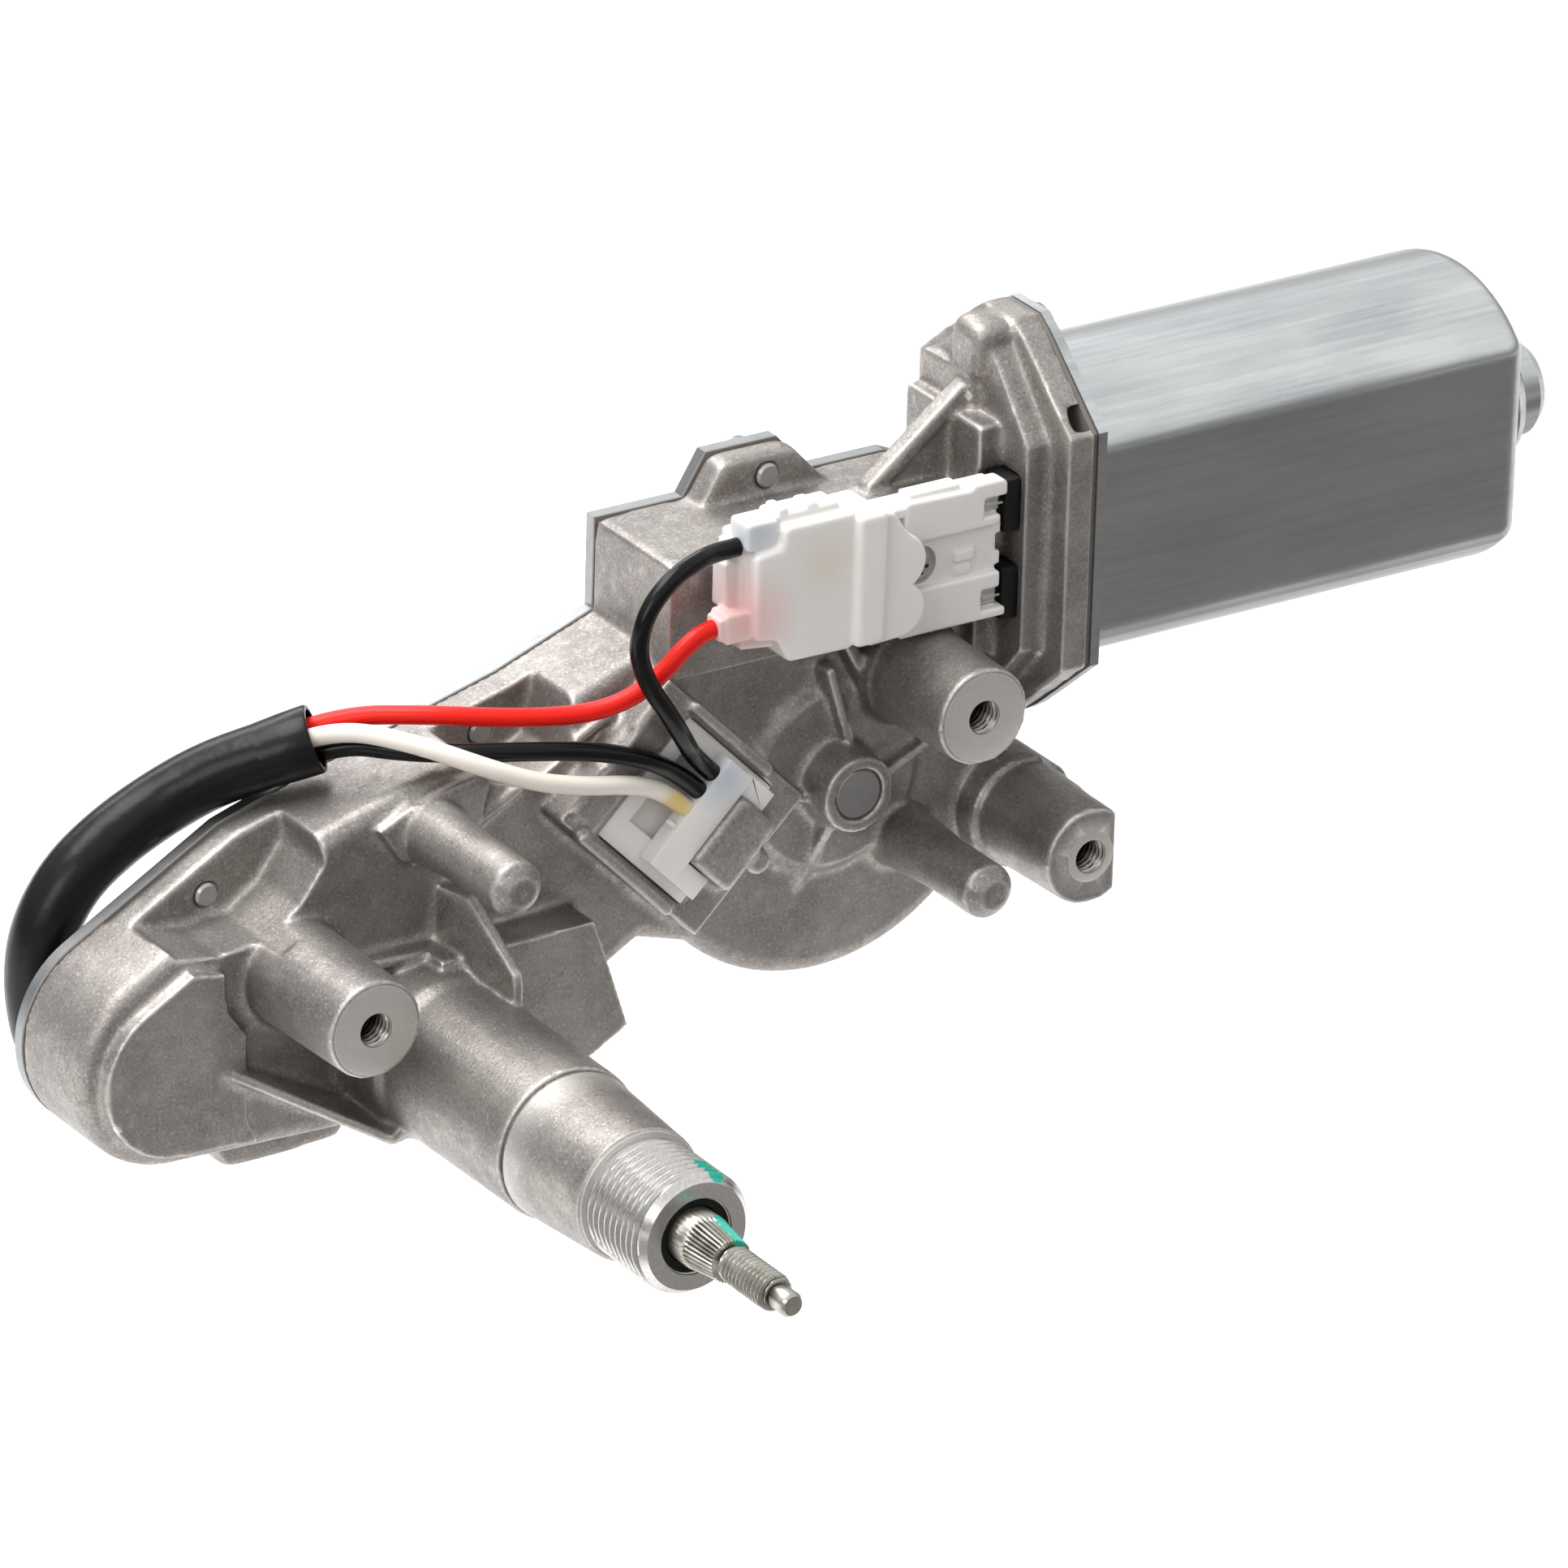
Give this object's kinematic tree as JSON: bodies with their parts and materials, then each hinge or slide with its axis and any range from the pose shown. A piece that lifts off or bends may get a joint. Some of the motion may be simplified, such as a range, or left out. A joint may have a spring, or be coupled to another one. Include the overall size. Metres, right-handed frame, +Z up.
{
  "type": "rear window wiper motor",
  "caption": "Rear wiper motor with a worm gear and rack in a cast housing, a threaded spindle nose, a drawn motor can and a short wiring harness.",
  "frame": {"origin": "on the output spindle's axis, at the shoulder of the threaded nose", "axes": "+X along the motor's axis towards the end of the can, -Y along the output spindle towards its threaded tip, +Z up, with the motor above the spindle"},
  "size_m": [0.2689, 0.1403, 0.1167],
  "materials": {
    "cast_aluminium": "as-cast, slightly rough, with machined faces at the nose",
    "black_rubber": "matt",
    "zinc_sheet": "pressed sheet, zinc plated",
    "zinc_screw": "zinc plated",
    "zinc_can": "deep drawn, zinc plated, faint draw lines",
    "ferrite": "sintered",
    "ground_steel": "ground",
    "core_steel": "stacked sheets",
    "copper_wire": "enamelled",
    "copper_bars": "turned",
    "bronze": "sintered or rolled",
    "brown_card": "pressed laminate",
    "carbon": "pressed",
    "tinned_brass": "tinned",
    "milky_nylon": "moulded, slightly translucent",
    "white_nylon": "moulded",
    "wheel_resin": "moulded, machined teeth",
    "zinc_spindle": "zinc plated",
    "black_sleeve": "extruded, glossy",
    "red_wire": "extruded",
    "black_wire": "extruded",
    "cream_wire": "extruded"
  },
  "bodies": {
    "housing": {"gear_housing": "cast_aluminium", "cover_gasket": "black_rubber", "cover_plate": "zinc_sheet", "cover_screws": "zinc_screw", "motor_can": "zinc_can", "flange_gasket": "black_rubber", "yoke_screws": "zinc_screw", "upper_magnet": "ferrite", "lower_magnet": "ferrite", "front_bearing": "bronze", "rear_bearing": "bronze", "worm_end_bush": "bronze", "thrust_button": "ground_steel", "brush_card": "brown_card", "carbon_brushes": "carbon", "brush_leaf_springs": "bronze", "brush_terminals": "tinned_brass", "terminal_grommets": "black_rubber", "feed_connector_base": "milky_nylon", "connector_screw": "zinc_screw", "feed_connector_plug": "milky_nylon", "switch_base": "milky_nylon", "switch_plug": "milky_nylon", "switch_fingers": "bronze", "wheel_shaft": "ground_steel", "wheel_clip": "zinc_screw", "guide_plate": "zinc_sheet", "guide_shoe": "wheel_resin", "front_spindle_bush": "bronze", "rear_spindle_bush": "bronze", "spindle_seal": "black_rubber", "thrust_washer": "ground_steel", "harness_sleeve": "black_sleeve", "red_wire": "red_wire", "black_loop_wire": "black_wire", "black_wire": "black_wire", "white_wire": "cream_wire", "harness_clip": "zinc_sheet", "harness_connector": "white_nylon"},
    "armature": {"worm_shaft": "ground_steel", "armature_core": "core_steel", "armature_windings": "copper_wire", "commutator": "copper_bars"},
    "wheel": {"worm_wheel": "wheel_resin", "contact_plate": "copper_bars", "crank_pin": "ground_steel"},
    "rod": {"rack_rod": "ground_steel"},
    "spindle": {"output_spindle": "zinc_spindle", "pinion": "ground_steel", "spindle_retaining_ring": "ground_steel"}
  },
  "joints": [
    {"name": "armature_spin", "type": "hinge", "parent": "housing", "child": "armature", "pos_m": [0.12, 0.07, 0.0619], "axis": [1, 0, 0], "continuous": true},
    {"name": "wheel_spin", "type": "hinge", "parent": "housing", "child": "wheel", "pos_m": [0.0747, 0.07, 0.0266], "axis": [0, 1, 0], "continuous": true},
    {"name": "spindle_swing", "type": "hinge", "parent": "housing", "child": "spindle", "pos_m": [0, 0, 0], "axis": [0, -1, 0], "range_deg": [0, 120]},
    {"name": "rack_slide", "type": "slide", "parent": "housing", "child": "rod", "axis": [-0.9815, 0, -0.1917], "range_m": [0, 0.01833]}
  ],
  "couplings": [
    {"joint": "wheel_spin", "follows": "armature_spin", "ratio": -0.016667},
    {"joint": "spindle_swing", "follows": "rack_slide", "rad_per_m": 114.29}
  ]
}
